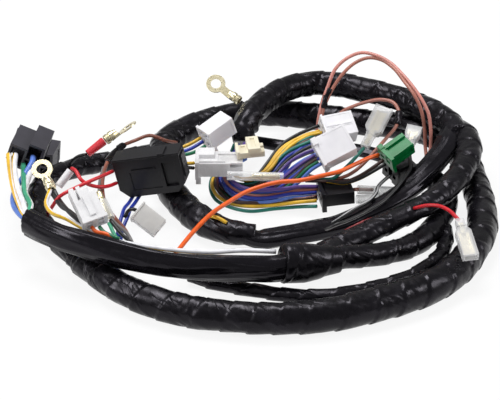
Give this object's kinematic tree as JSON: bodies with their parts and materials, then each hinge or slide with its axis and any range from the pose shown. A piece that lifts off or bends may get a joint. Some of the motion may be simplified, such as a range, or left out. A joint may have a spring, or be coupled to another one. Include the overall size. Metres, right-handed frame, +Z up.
{
  "type": "wiring harness",
  "caption": "Coiled vehicle wiring harness: a taped trunk with taped branches that end in moulded connectors, relay sockets, ring terminals and sleeved terminals.",
  "frame": {"origin": "centre of the bounding box, on the plane the coil lies on", "axes": "+Z up from the floor, +X to the right of the picture and along the coil's longest side, -Y towards the viewer"},
  "size_m": [0.2803, 0.2486, 0.0584],
  "materials": {
    "tape": "black PVC harness tape, satin, wound in overlapping turns",
    "pvc_sleeve": "soft black PVC sleeve, lightly creased",
    "wire_insulation": "coloured PVC insulation, each wire in its own colour",
    "white_nylon": "moulded white nylon, slightly translucent",
    "cream_nylon": "moulded cream nylon",
    "green_nylon": "moulded green nylon",
    "black_plastic": "moulded black plastic, satin",
    "clear_vinyl": "milky clear soft vinyl",
    "red_vinyl": "soft red vinyl sleeve",
    "brass": "stamped sheet brass, bright"
  },
  "bodies": {
    "root": {"top_trunk": "tape", "main_trunk": "tape", "left_strand": "tape", "inner_strand": "tape", "middle_strand": "tape", "front_strand": "tape", "tape_cuff": "tape", "low_strand": "tape", "tail_strand": "tape", "front_sleeve": "pvc_sleeve", "back_sleeve": "pvc_sleeve", "wires_relay_socket": "wire_insulation", "wires_ring_left": "wire_insulation", "wires_clear_left": "wire_insulation", "wires_bullet_left": "wire_insulation", "wire_ring_red": "wire_insulation", "wires_red": "wire_insulation", "wires_brown_grey": "wire_insulation", "wires_flasher": "wire_insulation", "wires_rear_white": "wire_insulation", "wires_latch": "wire_insulation", "orange_wire": "wire_insulation", "wires_ring_top": "wire_insulation", "wires_centre": "wire_insulation", "wires_pink_brown_arc": "wire_insulation", "wire_blade_green": "wire_insulation", "wires_green_connector": "wire_insulation", "wire_striped": "wire_insulation", "wire_front_black": "wire_insulation", "wire_thin_black": "wire_insulation", "wires_pink_loop": "wire_insulation", "wire_red_blade": "wire_insulation", "connector_rear_white": "white_nylon", "connector_white_back": "white_nylon", "connector_white_front": "white_nylon", "tube_end": "white_nylon", "cream_clip": "cream_nylon", "plate_connector": "cream_nylon", "green_connector": "green_nylon", "black_connector": "black_plastic", "front_black_connector": "black_plastic", "relay_socket": "black_plastic", "relay_socket_rear": "black_plastic", "flasher_box": "black_plastic", "latch_connector": "clear_vinyl", "left_clear_connector": "clear_vinyl", "bullet_sleeve_centre": "clear_vinyl", "bullet_sleeve_left": "clear_vinyl", "bullet_sleeve_right": "clear_vinyl", "bullet_sleeve_low": "clear_vinyl", "blade_sleeve_back": "clear_vinyl", "blade_sleeve_green": "clear_vinyl", "blade_sleeve_front": "clear_vinyl", "red_sleeve": "red_vinyl", "ring_terminal_left": "brass", "ring_terminal_top": "brass", "ring_terminal_red": "brass", "bullet_centre": "brass", "bullet_left": "brass"}
  },
  "joints": []
}
